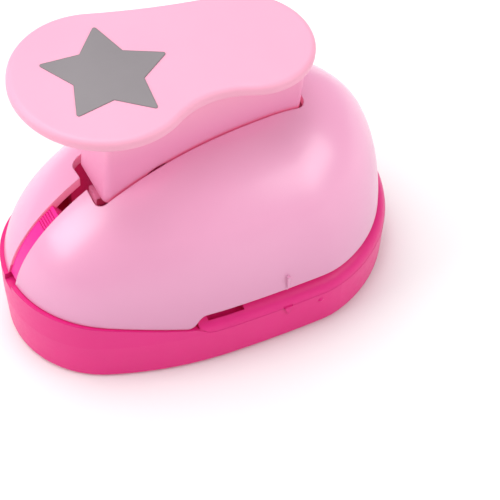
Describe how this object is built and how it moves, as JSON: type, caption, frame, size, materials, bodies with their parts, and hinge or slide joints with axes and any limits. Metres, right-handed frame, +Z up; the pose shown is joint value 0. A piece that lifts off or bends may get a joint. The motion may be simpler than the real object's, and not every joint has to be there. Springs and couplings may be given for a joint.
{
  "type": "craft punch",
  "caption": "Lever paper punch with a star die: egg-shaped domed body on a flat base, peanut-shaped press pad, paper slot around the blunt end and a sliding lock in the nose.",
  "frame": {"origin": "centre of the bounding box in X and Y, on the table plane under the base", "axes": "+X towards the blunt end where the paper goes in, -X the rounded nose with the lock, +Z up, Y across; the housing mirrors in Y = 0"},
  "size_m": [0.085, 0.0532, 0.0686],
  "materials": {
    "base_pink": "moulded hot-pink ABS, satin gloss",
    "shell_pink": "moulded pearl-pink ABS, soft gloss",
    "lever_pink": "moulded pale pink ABS, satin",
    "lock_pink": "moulded hot-pink ABS, satin gloss",
    "keeper_plastic": "moulded dark pink ABS, matt",
    "label_grey": "printed film, matt",
    "plate_steel": "zinc-plated sheet steel",
    "cutter_steel": "ground tool steel",
    "holder_alloy": "die-cast alloy, as cast",
    "pin_steel": "turned steel",
    "screw_steel": "zinc-plated steel",
    "spring_steel": "drawn spring wire",
    "washer_nylon": "natural nylon"
  },
  "bodies": {
    "housing": {"base_body": "base_pink", "base_cover": "base_pink", "upper_shell": "shell_pink", "lock_keeper": "keeper_plastic", "die_plate": "plate_steel", "spacer_plate": "plate_steel", "guide_plate": "plate_steel", "pivot_bracket": "plate_steel", "pivot_pin": "pin_steel", "guide_post_1": "pin_steel", "guide_post_2": "pin_steel", "guide_post_3": "pin_steel", "guide_post_4": "pin_steel", "plate_rivets": "pin_steel", "shell_screws": "screw_steel", "frame_screws": "screw_steel", "cover_screws": "screw_steel", "die_screws": "screw_steel", "bracket_screws": "screw_steel", "keeper_screws": "screw_steel", "pin_clips": "screw_steel", "return_spring_1": "spring_steel", "return_spring_2": "spring_steel", "return_spring_3": "spring_steel", "return_spring_4": "spring_steel", "pivot_washer_1": "washer_nylon", "pivot_washer_2": "washer_nylon"},
    "press_lever": {"lever": "lever_pink", "pusher_block": "lever_pink", "pusher_pin": "pin_steel", "star_label": "label_grey"},
    "punch": {"star_cutter": "cutter_steel", "punch_holder": "holder_alloy", "holder_screw": "screw_steel"},
    "lock": {"lock_slide": "lock_pink"}
  },
  "joints": [
    {"name": "lever_press", "type": "hinge", "parent": "housing", "child": "press_lever", "pos_m": [0.03, 0, 0.026], "axis": [0, -1, 0], "range_deg": [0, 7.5], "stiffness_Nm_per_rad": 2.2, "springref_deg": -6.88},
    {"name": "punch_slide", "type": "slide", "parent": "housing", "child": "punch", "axis": [0, 0, -1], "range_m": [0, 0.0031], "deforming": ["return_spring_1", "return_spring_2", "return_spring_3", "return_spring_4"]},
    {"name": "lock_slide", "type": "hinge", "parent": "housing", "child": "lock", "pos_m": [-0.0132, 0, 0.0109], "axis": [0, 1, 0], "range_deg": [0, 12]}
  ],
  "couplings": [
    {"joint": "punch_slide", "follows": "lever_press", "m_per_rad": 0.0233}
  ]
}
